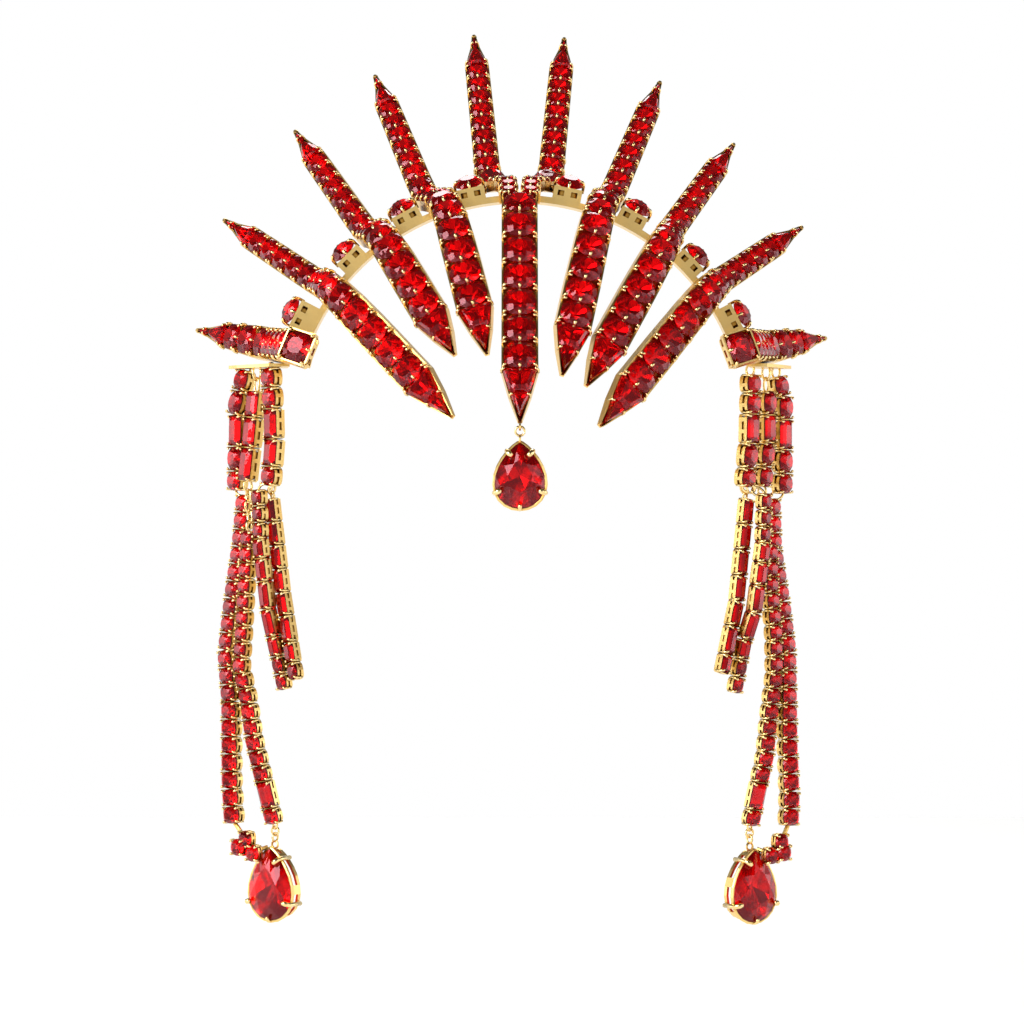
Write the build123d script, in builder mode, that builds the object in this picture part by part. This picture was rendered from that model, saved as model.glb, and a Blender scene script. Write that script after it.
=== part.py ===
"""Fringe tiara: rays of claw-set red stones on an arched headband, with a forehead drop and temple tassels.

Millimetres. +Z is up, +X is the viewer's right, -Y is the front. The origin is where the headband
rests on the crown of the head.
"""

import os
from math import cos, pi, radians, sin

from build123d import *

os.makedirs("parts", exist_ok=True)

# The head that the piece is bent to: an ellipsoid about its centre
HEAD_RADIUS = 71.0
HEAD_CENTRE = Vector(0, 0, -HEAD_RADIUS)
HEAD_HALF_SIZES = (74.0, 68.0, 75.0)

# Headband: a strip over the head with box collets between the rays, each at its angle with its extra height
STRIP_THICKNESS = 2.0
STRIP_WIDTH = 9.0
STRIP_HALF_ANGLE = 70.0
COLLET_SIDE = 9.0
COLLET_HEIGHT = 3.8
COLLET_WALL = 0.45
COLLET_STONE_WIDTH = 7.8
COLLET_WINDOW = (2.0, 1.7)
COLLET_WINDOW_DROP = 2.0
COLLET_WINDOW_OFFSET = 2.1
COLLET_SUNK = 0.6
COLLET_BOTTOM = 0.8
COLLET_STONE_RISE = 0.1
COLLET_STONE_CROWN = 1.6
COLLETS = {-62.8: 2.2, -44.9: 0, -28.2: 0, -11.8: 0, 11.6: 0, 28.3: 0, 45.9: -0.6, 62.8: 0}

# Ribbon: a shallow channel with its stones on the line of its two rails
RIBBON_WIDTH = 11.1
POINT_WIDTH = 7.9
CHANNEL_DEPTH = 3.4
RAIL_THICKNESS = 0.55
RAIL_SHARE = 0.16
FLOOR_THICKNESS = 0.7
SEAT_PITCH = 0.84
STONE_SHARE = 0.82
SEAT_GAP = 0.2
SEAT_RISE = 0.3
STRAIGHT = 0.9999

# Ribbon ends: lengths of the two tapering stones at each end
SPEAR_LENGTH = 9.2
WEDGE_LENGTH = 9.0
KITE_LENGTH = 9.6
BUD_LENGTH = 5.2
SPEAR_WIDTH = 6.8
BUD_WIDTH = 3.2
TIP_WIDTH = 1.3
TIP_BEAD_RADIUS = 0.9

# Where a ribbon bends over the headband: radius from the head's centre and place, front and back
KNEE = (75.2, -16.0)
SADDLE = (80.2, 14.0)
KNEE_RADIUS = 30.0
SADDLE_RADIUS = 20.0

# Side rays. Columns: angles at the knee and the saddle, forehead tip, upper point
SIDE_RAYS = {
    "left_outer": (-53.3, -54.0, (-20.7, -53, -68.7), (-97.2, 50, -1.3)),
    "left_middle": (-35.6, -37.9, (-20.0, -54, -49.8), (-74.1, 54, 28.4)),
    "left_inner": (-17.9, -22.1, (-10.1, -55, -49.6), (-47.9, 60, 47.4)),
    "right_inner": (19.9, 21.6, (12.9, -58, -56.0), (46.7, 57, 45.0)),
    "right_middle": (38.2, 37.4, (20.4, -55, -59.2), (70.9, 53, 24.0)),
    "right_outer": (54.0, 53.6, (24.6, -53, -71.4), (92.9, 47, -3.9)),
}

# Centre ray: it stops short of the headband and forks into two crest points
CENTRE_TIP = (0, -66.0, -70.2)
CENTRE_CORNER = (0, -16.2, 6.4)
CENTRE_END = (0, 12.0, 6.4)
CENTRE_RADIUS = 37.0
CENTRE_LENGTH = 88.0
CREST_START = (3.3, -14.85, 1.35)
CREST_CORNER = (3.7, -4.0, 6.9)
CREST_SADDLE = (9.8, 12.5, 7.4)
CREST_RADII = (14.0, 15.0)
CREST_START_WIDTH = 6.2
CREST_POINTS = {"left": (-15.1, 66, 61.5), "right": (15.1, 65, 60.5)}

# Temple points. Columns: front end, front corner, back corner, upper point
TEMPLES = {
    "left": ((-64.0, -28.5, -47.6), (-72.0, -26, -46.0), (-81.0, 12, -43.6), (-105.3, 41, -38.0)),
    "right": ((63.8, -28.5, -47.8), (72.0, -26, -46.0), (80.0, 12, -44.6), (100.2, 41, -40.6)),
}
TEMPLE_RADII = (4.5, 10.0)
TEMPLE_WIDTH = 10.4

# Outlines of the cut stones, up one side. Columns: share of the length, share of the half width
OUTLINES = {
    "round": ((0, 0.42), (0.29, 1), (0.71, 1), (1, 0.42)),
    "wedge": ((0, 0.42), (0.10, 0.6), (0.92, 1), (1, 0.8)),
    "spear": ((0, 0), (0.45, 0.44), (0.9, 0.86), (1, 0.62)),
    "kite": ((0, 0.6), (0.14, 0.88), (0.6, 0.55), (1, 0)),
    "bud": ((0, 0.45), (0.3, 0.62), (1, 0)),
}
TABLE_SHARE = 0.56
CROWN_HEIGHT = 1.4
PAVILION_HEIGHT = 2.1

# Bar under each temple point that the tassel hangs from. Columns: outward, back
HANGER_LEVEL = -51.2
HANGER_THICKNESS = 1.0
HANGER = {
    "left": ((71.5, -14), (78, -14), (81.5, -9), (89, 0), (92, 5), (88, 8), (80, 4), (73, 0)),
    "right": ((71, -14), (77, -13), (83, -2), (86, 5), (82, 8), (76, 5), (72.5, -2)),
}

# Hanging strands: box settings down a route, joined behind by link bars
BOX_GAP = 0.5
LINK_RADIUS = 1.0
LINK_LEVEL = 0.6
UPPER_TURN = 50.0
LOWER_TURN = 33.0
TURN_LEVELS = (-140.0, -178.0)
ROUND_BOXES = (4.9,)

# Tassels. Columns: width and depth of the boxes, route (outward, back, up), box lengths, hook
TASSELS = {
    "left": {
        "tassel_inner": (6.4, 3.6, ((79, -9, -52.6), (78.3, -9, -64), (78, -9, -76), (79, -9, -89.5)),
                         (6, 6.5, 9.5, 8.5, 6), None),
        "tassel_middle": (6.2, 3.6, ((84, -2, -59.5), (85.5, -2, -75), (87, -2, -88)),
                          (7, 8, 9), (80.5, -1.5, -52.4)),
        "tassel_outer": (6.4, 3.6, ((87.5, 4, -52.6), (90, 4, -63), (90.5, 4, -91)),
                         (6, 7, 9, 7, 5.5), None),
        "tail_front": (4.6, 3.0, ((82.5, -8.2, -90.6), (82, -8.2, -108), (79.5, -8.2, -129), (76, -8.2, -145),
                                  (74.2, -8.2, -153.5)), (4.5, 4.5, 4.5, 5.5, 6.5, 8, 8, 5.5, 5, 4.5), None),
        "tail_back": (4.4, 3.0, ((78.7, -5.5, -93.5), (74.9, -8.2, -124), (70.5, -12.4, -150)),
                      (7, 7, 7, 7, 7, 8, 6, 5), None),
        "chain_outer": (6.2, 3.4, ((87.5, 2.4, -92.2), (89, 3, -108), (91.5, 3, -125), (93.4, 2.4, -142),
                                   (92, 1.4, -157), (91.6, 0.8, -184), (90.8, 0, -196), (88.5, -1, -202.5),
                                   (85.6, -1.8, -205)), ROUND_BOXES * 21, None),
        "chain_inner": (5.6, 3.0, ((85.8, -3.4, -103.5), (87.6, -3, -134.5), (88.3, -3.2, -146),
                                   (86, -2.8, -157), (84.3, -2.4, -169), (80.3, -1.8, -185.5),
                                   (77.8, -0.9, -196.1)), (*ROUND_BOXES * 16, 9, 5.2), None),
    },
    "right": {
        "tassel_inner": (6.4, 3.6, ((73.5, -9, -54.6), (73.2, -9, -72), (71.5, -9, -90)),
                         (6, 6.5, 9.5, 8, 6), (73, -7.4, -52.4)),
        "tassel_middle": (6.0, 3.6, ((79, -2, -59.5), (79, -2, -72), (77.5, -2, -90)),
                          (7, 8, 7, 6), (76.5, -1, -52.4)),
        "tassel_outer": (6.4, 3.6, ((82.5, 4, -54.6), (84.5, 4, -64), (84.3, 4, -92)),
                         (6, 7, 9, 7, 6), (80, 5, -52.4)),
        "tail_front": (4.6, 3.0, ((77.5, -8.2, -91.8), (77, -8.2, -109), (74.5, -8.2, -128), (71, -8.2, -139),
                                  (68, -8.2, -154.5)), (4.5, 4.5, 4.5, 5.5, 6.5, 8, 8, 5.5, 5, 4.5), None),
        "tail_back": (4.4, 3.0, ((72.2, -5.5, -93.5), (68.8, -8.4, -126), (63.9, -12.6, -148)),
                      (7, 7, 7, 7, 7, 8, 5), None),
        "chain_outer": (6.2, 3.4, ((80.5, 2.6, -93.4), (81, 3.2, -109), (83.5, 3.2, -125), (85.4, 2.4, -141),
                                   (85.5, 1, -172), (86, 0.4, -187), (85.6, -0.4, -197), (83.8, -1.2, -203.5),
                                   (81, -1.8, -205.8)), ROUND_BOXES * 21, None),
        "chain_inner": (5.6, 3.0, ((79.4, -3.2, -108), (79.6, -3.0, -122), (80.8, -2.8, -136),
                                   (81, -2.8, -148.5), (79.3, -2.4, -161.5), (78, -2.2, -174),
                                   (75.4, -1.8, -186), (73.3, -0.9, -196.7)),
                        (*ROUND_BOXES * 15, 9, 5.2), None),
    },
}

# Rings and loops
WIRE = 0.7
RING_RADIUS = 1.75
LOOP_HOLE = 0.95
LOOP_RADIUS = 1.5
LOOP_THICKNESS = 0.6
RING_SIDES = 10
HANG_GAP = 0.2
BAIL_RISE = 0.9

# Pear drops. Columns: width and height of the stone, depth of the setting
FRONT_PEAR = (13.2, 19.6, 4.6)
SIDE_PEAR = (14.6, 22.6, 5.6)
PEAR_SHARPNESS = 0.6
PEAR_SIDES = 12
PEAR_WALL = 0.9
PEAR_GAP = 0.15
PEAR_CROWN = 2.2
PEAR_PAVILION_SHARE = 0.16
PEAR_LEDGE = 1.0
PEAR_OPENING_INSET = (3, 4)
PEAR_SLOT_LEVEL = 0.55
PEAR_SLOTS = (-0.45, 0, 0.3)
PEAR_SLOT = (2.2, 2.2)
FRONT_PEAR_Y = -66.3
SIDE_PEAR_PLACES = {"left": (-78.5, -2.0, -214.6), "right": (74.0, -2.0, -215.2)}


def write(part, name):
    """Label one finished piece and write it."""
    part.label = name
    export_step(part, f"parts/{name}.step")


# Points, planes and widths along a bent line


def outward(here):
    """Direction away from the head at a point, level behind the headband."""
    place = Vector(here.X, min(here.Y, 0), here.Z) - HEAD_CENTRE
    wide, deep, high = HEAD_HALF_SIZES
    return Vector(place.X / wide**2, place.Y / deep**2, place.Z / high**2).normalized()


def bent_line(points, radii):
    """A line through corners rounded to the given radii."""
    with BuildLine() as line:
        FilletPolyline(*points, radius=radii)
    return line.wires()[0]


def directions(path, distance):
    """The point at a distance along a ribbon, with its directions along, across and away from the head."""
    here = path.position_at(distance, PositionMode.LENGTH)
    along = path.tangent_at(distance, PositionMode.LENGTH)
    across = along.cross(outward(here)).normalized()
    return here, along, across, across.cross(along)


def section_plane(path, distance):
    """Cross-section of a ribbon: x across it, y away from the head."""
    here, along, across, _ = directions(path, distance)
    return Plane(origin=here, x_dir=across, z_dir=-along)


def seat_plane(path, distance):
    """Seat of a stone on a ribbon: x across, y along the ribbon, z out through the table."""
    here, _, across, out = directions(path, distance)
    return Plane(origin=here, x_dir=across, z_dir=out)


def between(stations, distance):
    """Width at a distance, straight between the stations of a table of (distance, width)."""
    for (near, first), (far, second) in zip(stations, stations[1:]):
        if distance <= far:
            return first + (second - first) * (distance - near) / (far - near)
    return stations[-1][1]


def round_seats(start, end, stations):
    """Edges of the round seats: each is as long as the ribbon is wide there, times the pitch."""
    edges = [start]
    while edges[-1] < end:
        edges.append(edges[-1] + SEAT_PITCH * between(stations, edges[-1]))
    if edges[-1] - end > end - edges[-2]:
        edges.pop()
    stretch = (end - start) / (edges[-1] - start)
    return [start + (edge - start) * stretch for edge in edges]


# Ribbons


def facet(*corners):
    """One flat face through its corners."""
    return Face(Wire.make_polygon([Vector(*corner) for corner in corners]))


def channel_outline(width):
    """Corners of a ribbon's cross-section: two rails and a floor, shallower where it is narrow."""
    half = width / 2
    depth = min(CHANNEL_DEPTH, 1.5 + half / 2)
    inside = half - min(RAIL_THICKNESS, RAIL_SHARE * width)
    floor = FLOOR_THICKNESS - depth
    right = [(half, -depth), (half, 0), (inside, 0), (inside, floor)]
    return right + [(-x, y) for x, y in reversed(right)]


def needed_edges(path, edges, stations):
    """The edges that shape a ribbon: its ends, its bends, its changes of width and every other seat."""
    turns = [distance for distance, _ in stations]
    kept = [edges[0]]
    for before, here, after in zip(edges, edges[1:], edges[2:]):
        near, far = [path.tangent_at(place, PositionMode.LENGTH) for place in (before, after)]
        bent = near.dot(far) < STRAIGHT
        widens = any(abs(here - turn) < 0.01 for turn in turns)
        if bent or widens or kept[-1] < before:
            kept.append(here)
    return [*kept, edges[-1]]


def ribbon(path, edges, stations):
    """The channel of a ribbon, in flat facets from one edge to the next."""
    rings = []
    for edge in needed_edges(path, edges, stations):
        plane = section_plane(path, edge)
        outline = channel_outline(between(stations, edge))
        rings.append([plane.from_local_coords((x, y, 0)) for x, y in outline])
    facets = [facet(*rings[0]), facet(*rings[-1])]
    for near, far in zip(rings, rings[1:]):
        for here in range(len(near)):
            facets.append(facet(near[here - 1], near[here], far[here]))
            facets.append(facet(near[here - 1], far[here], far[here - 1]))
    return Solid(Shell(facets))


def tip_bead(path, distance):
    """The faceted gold bead at the end of a point."""
    size = 2 * TIP_BEAD_RADIUS
    bead = cut_stone(stone_outline("round", size, size), TIP_BEAD_RADIUS, TIP_BEAD_RADIUS)
    return bead.moved(Location(seat_plane(path, distance).offset(-0.8 * TIP_BEAD_RADIUS)))


# Cut stones


def stone_outline(shape, width, length):
    """Corners of a stone's girdle about the middle of its seat."""
    rows = OUTLINES[shape]
    right = [(share * width / 2, (place - 0.5) * length) for place, share in rows]
    left = [(-x, y) for x, y in reversed(right) if x > 0]
    return right + left


def cut_stone(outline, crown, pavilion):
    """A faceted stone: crown facets rise from the girdle to the table, pavilion facets run to a point."""
    middle = sum(y for _, y in outline) / len(outline)
    girdle = [(x, y, 0) for x, y in outline]
    table = [(x * TABLE_SHARE, middle + (y - middle) * TABLE_SHARE, crown) for x, y in outline]
    facets = [facet(*table)]
    for here in range(len(outline)):
        facets.append(facet(girdle[here - 1], girdle[here], table[here], table[here - 1]))
        facets.append(facet(girdle[here - 1], girdle[here], (0, middle, -pavilion)))
    return Solid(Shell(facets))


def ribbon_stones(path, seats, stations):
    """The stones of a ribbon, one to each seat of (shape, start, end)."""
    stones = []
    for shape, start, end in seats:
        length = end - start - SEAT_GAP
        widest = max(between(stations, start), between(stations, end))
        width = STONE_SHARE * widest
        if shape == "round":
            width = min(width, length * 1.04)
        pavilion = min(PAVILION_HEIGHT, width * 0.32)
        crown = min(CROWN_HEIGHT, width * 0.24)
        stone = cut_stone(stone_outline(shape, width, length), crown, pavilion)
        stones.append(stone.moved(Location(seat_plane(path, (start + end) / 2).offset(SEAT_RISE))))
    with BuildPart() as field:
        add(stones)
    return field.part


def front_seats():
    """The spear and wedge stones at a ribbon's forehead end, and where the round stones start."""
    wedge_start = SPEAR_LENGTH + 0.4
    rounds_start = wedge_start + WEDGE_LENGTH
    return [("spear", 0.6, wedge_start), ("wedge", wedge_start, rounds_start)], rounds_start


def point_seats(length):
    """The kite and bud stones at an upper point, and where the round stones end."""
    bud_start = length - BUD_LENGTH - 1.4
    kite_start = bud_start - KITE_LENGTH
    return [("kite", kite_start, bud_start), ("bud", bud_start, length - 1.4)], kite_start


def point_stations(kite_start, length):
    """Widths of an upper point from its kite stone to its tip."""
    return [(kite_start, POINT_WIDTH), (kite_start + KITE_LENGTH, BUD_WIDTH), (length, TIP_WIDTH)]


def rounds(edges):
    """Round seats between neighbouring edges."""
    return [("round", start, end) for start, end in zip(edges, edges[1:])]


def seat_edges(seats, length):
    """Every edge between seats, with both ends of the ribbon."""
    inner = sorted({round(edge, 3) for _, start, end in seats for edge in (start, end)})
    return [0, *[edge for edge in inner if 0.7 < edge < length - 0.5], length]


def over_headband(angle, place):
    """A corner of a ribbon near the headband, at its angle."""
    radius, depth = place
    return (radius * sin(radians(angle)), depth, radius * cos(radians(angle)) - HEAD_RADIUS)


# Loops, rings and pear drops


def face_on(centre, turn):
    """A plane that faces the front, turned about the vertical."""
    out = Vector(sin(radians(turn)), -cos(radians(turn)), 0)
    return Plane(origin=centre, x_dir=(-out.Y, out.X, 0), z_dir=out)


def edge_on(centre, turn):
    """The plane across face_on, seen on edge from the front."""
    front = face_on(centre, turn)
    return Plane(origin=centre, x_dir=-front.z_dir, z_dir=front.x_dir)


def ring_about(plane, radius, hole, thickness):
    """A link with straight sides, on its plane."""
    with BuildPart() as link:
        with BuildSketch(plane):
            RegularPolygon(radius, RING_SIDES)
            RegularPolygon(hole, RING_SIDES, mode=Mode.SUBTRACT)
        extrude(amount=thickness / 2, both=True)
    return link.part


def pear_outline(width, height, grow=0.0):
    """Corners of a pear shape, its point up."""
    corners = []
    for step in range(PEAR_SIDES):
        turn = 2 * pi * step / PEAR_SIDES
        x = (width / 2 + grow) * 1.29 * sin(turn) * abs(sin(turn / 2)) ** PEAR_SHARPNESS
        corners.append((x, (height / 2 + grow) * cos(turn)))
    return corners


def pear_setting(plane, width, height, depth):
    """An open cup round a pear stone, its side pierced by a row of slots, with a loop on top."""
    with BuildPart() as cup:
        with BuildSketch(plane):
            Polygon(*pear_outline(width, height, PEAR_WALL), align=None)
        extrude(amount=-depth)
        with BuildSketch(plane):
            Polygon(*pear_outline(width, height, PEAR_GAP), align=None)
        extrude(amount=-(depth - PEAR_LEDGE), mode=Mode.SUBTRACT)
        across, along = PEAR_OPENING_INSET
        with BuildSketch(plane):
            Polygon(*pear_outline(width - across, height - along), align=None)
        extrude(amount=-depth, mode=Mode.SUBTRACT)
        slot_width, slot_height = PEAR_SLOT
        for share in PEAR_SLOTS:
            middle = plane.origin + plane.y_dir * (-share * height / 2) - plane.z_dir * (depth * PEAR_SLOT_LEVEL)
            with Locations(Plane(origin=middle, x_dir=plane.x_dir, z_dir=plane.z_dir)):
                Box(width * 2, slot_width, slot_height, mode=Mode.SUBTRACT)
    return cup.part


def pear_stone(plane, width, height):
    """The pear stone over its setting."""
    stone = cut_stone(pear_outline(width, height), PEAR_CROWN, height * PEAR_PAVILION_SHARE)
    return stone.moved(Location(plane))


# Hanging strands


def hanging_plane(here, up, hand):
    """Seat of a hanging box: y up the strand, z out through its face, turned outward, less so low down."""
    high, low = TURN_LEVELS
    share = min(max((here.Z - low) / (high - low), 0), 1)
    front = face_on(here, hand * (LOWER_TURN + (UPPER_TURN - LOWER_TURN) * share))
    across = up.cross(front.z_dir).normalized()
    return Plane(origin=here, x_dir=across, z_dir=across.cross(up))


def strand_seats(route, lengths, hand):
    """Seats down a route, their lengths stretched to fill it."""
    with BuildLine() as line:
        Polyline(*route)
    path = line.wires()[0]
    stretch = path.length / (sum(lengths) + BOX_GAP * len(lengths))
    seats, reached = [], 0.0
    for length in lengths:
        middle = (reached + length / 2) * stretch
        here = path.position_at(middle, PositionMode.LENGTH)
        up = -path.tangent_at(middle, PositionMode.LENGTH)
        seats.append((hanging_plane(here, up, hand), length * stretch))
        reached += length + BOX_GAP
    return seats


def link_bar(upper, lower, across):
    """A three-sided bar between two points."""
    with BuildPart() as bar:
        with BuildSketch(Plane(origin=upper, x_dir=across, z_dir=(lower - upper).normalized())):
            RegularPolygon(LINK_RADIUS, 3)
        extrude(amount=(upper - lower).length)
    return bar.part


def strand(seats, width, depth):
    """One strand: box settings down the seats, joined behind by link bars."""
    boxes = []
    for plane, length in seats:
        with BuildPart() as box:
            with Locations(plane.offset(-depth / 2)):
                Box(width, length, depth)
        boxes.append(box.part)
    backs = [plane.origin - plane.z_dir * (depth * LINK_LEVEL) for plane, _ in seats]
    bars = [link_bar(upper, lower, seats[0][0].x_dir) for upper, lower in zip(backs, backs[1:])]
    with BuildPart() as chain:
        add(boxes + bars)
    return chain.part


# Headband with its collets, then its stones


def collet_plane(angle, radius):
    """A plane across the headband at an angle from the crown, facing away from the head."""
    away = Vector(sin(radians(angle)), 0, cos(radians(angle)))
    return Plane(origin=HEAD_CENTRE + away * radius, x_dir=(away.Z, 0, -away.X), z_dir=away)


STRIP_TOP = HEAD_RADIUS + STRIP_THICKNESS
COLLET_TOP = STRIP_TOP + COLLET_HEIGHT

with BuildPart() as headband:
    with BuildSketch(Plane.XZ):
        with BuildLine():
            start_angle = 90 - STRIP_HALF_ANGLE
            under = CenterArc((0, -HEAD_RADIUS), HEAD_RADIUS, start_angle, 2 * STRIP_HALF_ANGLE)
            over = CenterArc((0, -HEAD_RADIUS), STRIP_TOP, start_angle, 2 * STRIP_HALF_ANGLE)
            Line(under @ 0, over @ 0)
            Line(under @ 1, over @ 1)
        make_face()
    extrude(amount=STRIP_WIDTH / 2, both=True)
    for angle, rise in COLLETS.items():
        with BuildSketch(collet_plane(angle, COLLET_TOP + rise)):
            Rectangle(COLLET_SIDE, COLLET_SIDE)
        extrude(amount=-(COLLET_HEIGHT + rise + COLLET_SUNK))
    for angle, rise in COLLETS.items():
        with BuildSketch(collet_plane(angle, COLLET_TOP + rise)):
            RegularPolygon(COLLET_SIDE / 2 - COLLET_WALL, 8, major_radius=False)
        extrude(amount=-(COLLET_HEIGHT - COLLET_BOTTOM), mode=Mode.SUBTRACT)
        window_width, window_height = COLLET_WINDOW
        with Locations(collet_plane(angle, COLLET_TOP + rise - COLLET_WINDOW_DROP)):
            with Locations((-COLLET_WINDOW_OFFSET, 0, 0), (COLLET_WINDOW_OFFSET, 0, 0)):
                Box(window_width, 2 * COLLET_SIDE, window_height, mode=Mode.SUBTRACT)
write(headband.part, "headband")

with BuildPart() as headband_stones:
    single_outline = stone_outline("round", COLLET_STONE_WIDTH, COLLET_STONE_WIDTH)
    single = cut_stone(single_outline, COLLET_STONE_CROWN, PAVILION_HEIGHT)
    places = [collet_plane(angle, COLLET_TOP + rise + COLLET_STONE_RISE) for angle, rise in COLLETS.items()]
    add([single.moved(Location(place)) for place in places])
write(headband_stones.part, "headband_stones")

# Side rays

for side, (knee_angle, saddle_angle, tip, point) in SIDE_RAYS.items():
    corners = (tip, over_headband(knee_angle, KNEE), over_headband(saddle_angle, SADDLE), point)
    path = bent_line(corners, (KNEE_RADIUS, SADDLE_RADIUS))
    start_seats, rounds_start = front_seats()
    end_seats, rounds_end = point_seats(path.length)
    saddle_at = path.length - (Vector(*point) - Vector(*corners[2])).length
    stations = [
        (0, TIP_WIDTH),
        (start_seats[1][1], SPEAR_WIDTH),
        (rounds_start, RIBBON_WIDTH),
        (rounds_start + 25, RIBBON_WIDTH),
        (saddle_at, POINT_WIDTH + 0.6),
        *point_stations(rounds_end, path.length),
    ]
    seats = start_seats + rounds(round_seats(rounds_start, rounds_end, stations)) + end_seats
    with BuildPart() as ray_frame:
        add(ribbon(path, seat_edges(seats, path.length), stations))
        add(tip_bead(path, path.length))
    write(ray_frame.part, f"ray_frame_{side}")
    write(ribbon_stones(path, seats, stations), f"ray_stones_{side}")

# Centre ray with the loop for its drop

centre_path = bent_line((CENTRE_TIP, CENTRE_CORNER, CENTRE_END), (CENTRE_RADIUS,))
start_seats, rounds_start = front_seats()
centre_stations = [
    (0, TIP_WIDTH),
    (start_seats[1][1], SPEAR_WIDTH),
    (rounds_start, RIBBON_WIDTH),
    (CENTRE_LENGTH, RIBBON_WIDTH),
]
centre_seats = start_seats + rounds(round_seats(rounds_start, CENTRE_LENGTH, centre_stations))
loop_centre = Vector(*CENTRE_TIP) + Vector(0, 0.7, -1.7)

with BuildPart() as centre_frame:
    add(ribbon(centre_path, seat_edges(centre_seats, CENTRE_LENGTH), centre_stations))
    add(ring_about(edge_on(loop_centre, 0), LOOP_RADIUS, LOOP_HOLE, LOOP_THICKNESS))
write(centre_frame.part, "ray_frame_centre")
write(ribbon_stones(centre_path, centre_seats, centre_stations), "ray_stones_centre")

# Crest: the two points that the centre ray forks into

for side, point in CREST_POINTS.items():
    hand = -1 if side == "left" else 1
    corners = [(hand * x, y, z) for x, y, z in (CREST_START, CREST_CORNER, CREST_SADDLE)]
    path = bent_line((*corners, point), CREST_RADII)
    end_seats, rounds_end = point_seats(path.length)
    stations = [
        (0, CREST_START_WIDTH),
        (12, CREST_START_WIDTH),
        (26, POINT_WIDTH + 0.4),
        *point_stations(rounds_end, path.length),
    ]
    seats = rounds(round_seats(0, rounds_end, stations)) + end_seats
    with BuildPart() as crest_frame:
        add(ribbon(path, seat_edges(seats, path.length), stations))
        add(tip_bead(path, path.length))
    write(crest_frame.part, f"crest_frame_{side}")
    write(ribbon_stones(path, seats, stations), f"crest_stones_{side}")

# Temple points, each with the bar that its tassel hangs from

for side, corners in TEMPLES.items():
    hand = -1 if side == "left" else 1
    path = bent_line(corners, TEMPLE_RADII)
    end_seats, rounds_end = point_seats(path.length)
    stations = [(0, TEMPLE_WIDTH), (rounds_end - 14, TEMPLE_WIDTH), *point_stations(rounds_end, path.length)]
    seats = rounds(round_seats(0.3, rounds_end, stations)) + end_seats
    with BuildPart() as temple_frame:
        add(ribbon(path, seat_edges(seats, path.length), stations))
        add(tip_bead(path, path.length))
        with BuildSketch(Plane.XY.offset(HANGER_LEVEL)):
            Polygon(*[(hand * x, y) for x, y in HANGER[side]], align=None)
        extrude(amount=-HANGER_THICKNESS)
    write(temple_frame.part, f"temple_frame_{side}")
    write(ribbon_stones(path, seats, stations), f"temple_stones_{side}")

# Forehead drop: its ring hangs in the ray's loop, and the setting's loop hangs in the ring

REACH = RING_RADIUS - WIRE / 2
LOOP_TO_RING = HANG_GAP + REACH
RING_TO_RING = 2 * REACH - WIRE - HANG_GAP
ring_centre = loop_centre - Vector(0, 0, LOOP_TO_RING)
bail_centre = ring_centre - Vector(0, 0, LOOP_TO_RING)
drop_ring = ring_about(face_on(ring_centre, 0), RING_RADIUS, RING_RADIUS - WIRE, WIRE)
write(drop_ring, "drop_ring")

pear_width, pear_height, pear_depth = FRONT_PEAR
stone_top = bail_centre.Z - BAIL_RISE - PEAR_WALL
drop_plane = face_on(Vector(0, FRONT_PEAR_Y, stone_top - pear_height / 2), 0)
with BuildPart() as drop_setting:
    add(pear_setting(drop_plane, *FRONT_PEAR))
    add(ring_about(edge_on(bail_centre, 0), LOOP_RADIUS, LOOP_HOLE, LOOP_THICKNESS))
write(drop_setting.part, "drop_setting")
write(pear_stone(drop_plane, pear_width, pear_height), "drop_stone")

# Side pears and the two rings over each

eye_centres = {}
for side, place in SIDE_PEAR_PLACES.items():
    hand = -1 if side == "left" else 1
    turn = hand * LOWER_TURN
    pear_width, pear_height, pear_depth = SIDE_PEAR
    pear_plane = face_on(Vector(*place), turn)
    rise = Vector(0, 0, pear_height / 2 + PEAR_WALL + BAIL_RISE)
    bail_centre = pear_plane.origin - pear_plane.z_dir * (pear_depth / 2) + rise
    lower_centre = bail_centre + Vector(0, 0, LOOP_TO_RING)
    upper_centre = lower_centre + Vector(0, 0, RING_TO_RING)
    eye_centres[side] = upper_centre + Vector(0, 0, LOOP_TO_RING)
    with BuildPart() as pear_cup:
        add(pear_setting(pear_plane, *SIDE_PEAR))
        add(ring_about(face_on(bail_centre, turn), LOOP_RADIUS, LOOP_HOLE, LOOP_THICKNESS))
    write(pear_cup.part, f"pear_setting_{side}")
    write(pear_stone(pear_plane, pear_width, pear_height), f"pear_stone_{side}")
    lower_ring = ring_about(edge_on(lower_centre, turn), RING_RADIUS, RING_RADIUS - WIRE, WIRE)
    write(lower_ring, f"ring_lower_{side}")
    upper_ring = ring_about(face_on(upper_centre, turn), RING_RADIUS, RING_RADIUS - WIRE, WIRE)
    write(upper_ring, f"ring_upper_{side}")

# Tassels: short strands, double tails and long cup chains

for side, strands in TASSELS.items():
    hand = -1 if side == "left" else 1
    for name, (box_width, box_depth, route, lengths, hook) in strands.items():
        seats = strand_seats([(hand * x, y, z) for x, y, z in route], lengths, hand)
        first = seats[0][0]
        with BuildPart() as chain:
            add(strand(seats, box_width, box_depth))
            if hook:
                x, y, z = hook
                top = first.origin - first.z_dir * (box_depth * LINK_LEVEL)
                add(link_bar(Vector(hand * x, y, z), top, first.x_dir))
            if name == "chain_inner":
                eye_plane = edge_on(eye_centres[side], hand * LOWER_TURN)
                add(ring_about(eye_plane, LOOP_RADIUS, LOOP_HOLE, LOOP_THICKNESS))
        write(chain.part, f"{name}_{side}")
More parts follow.
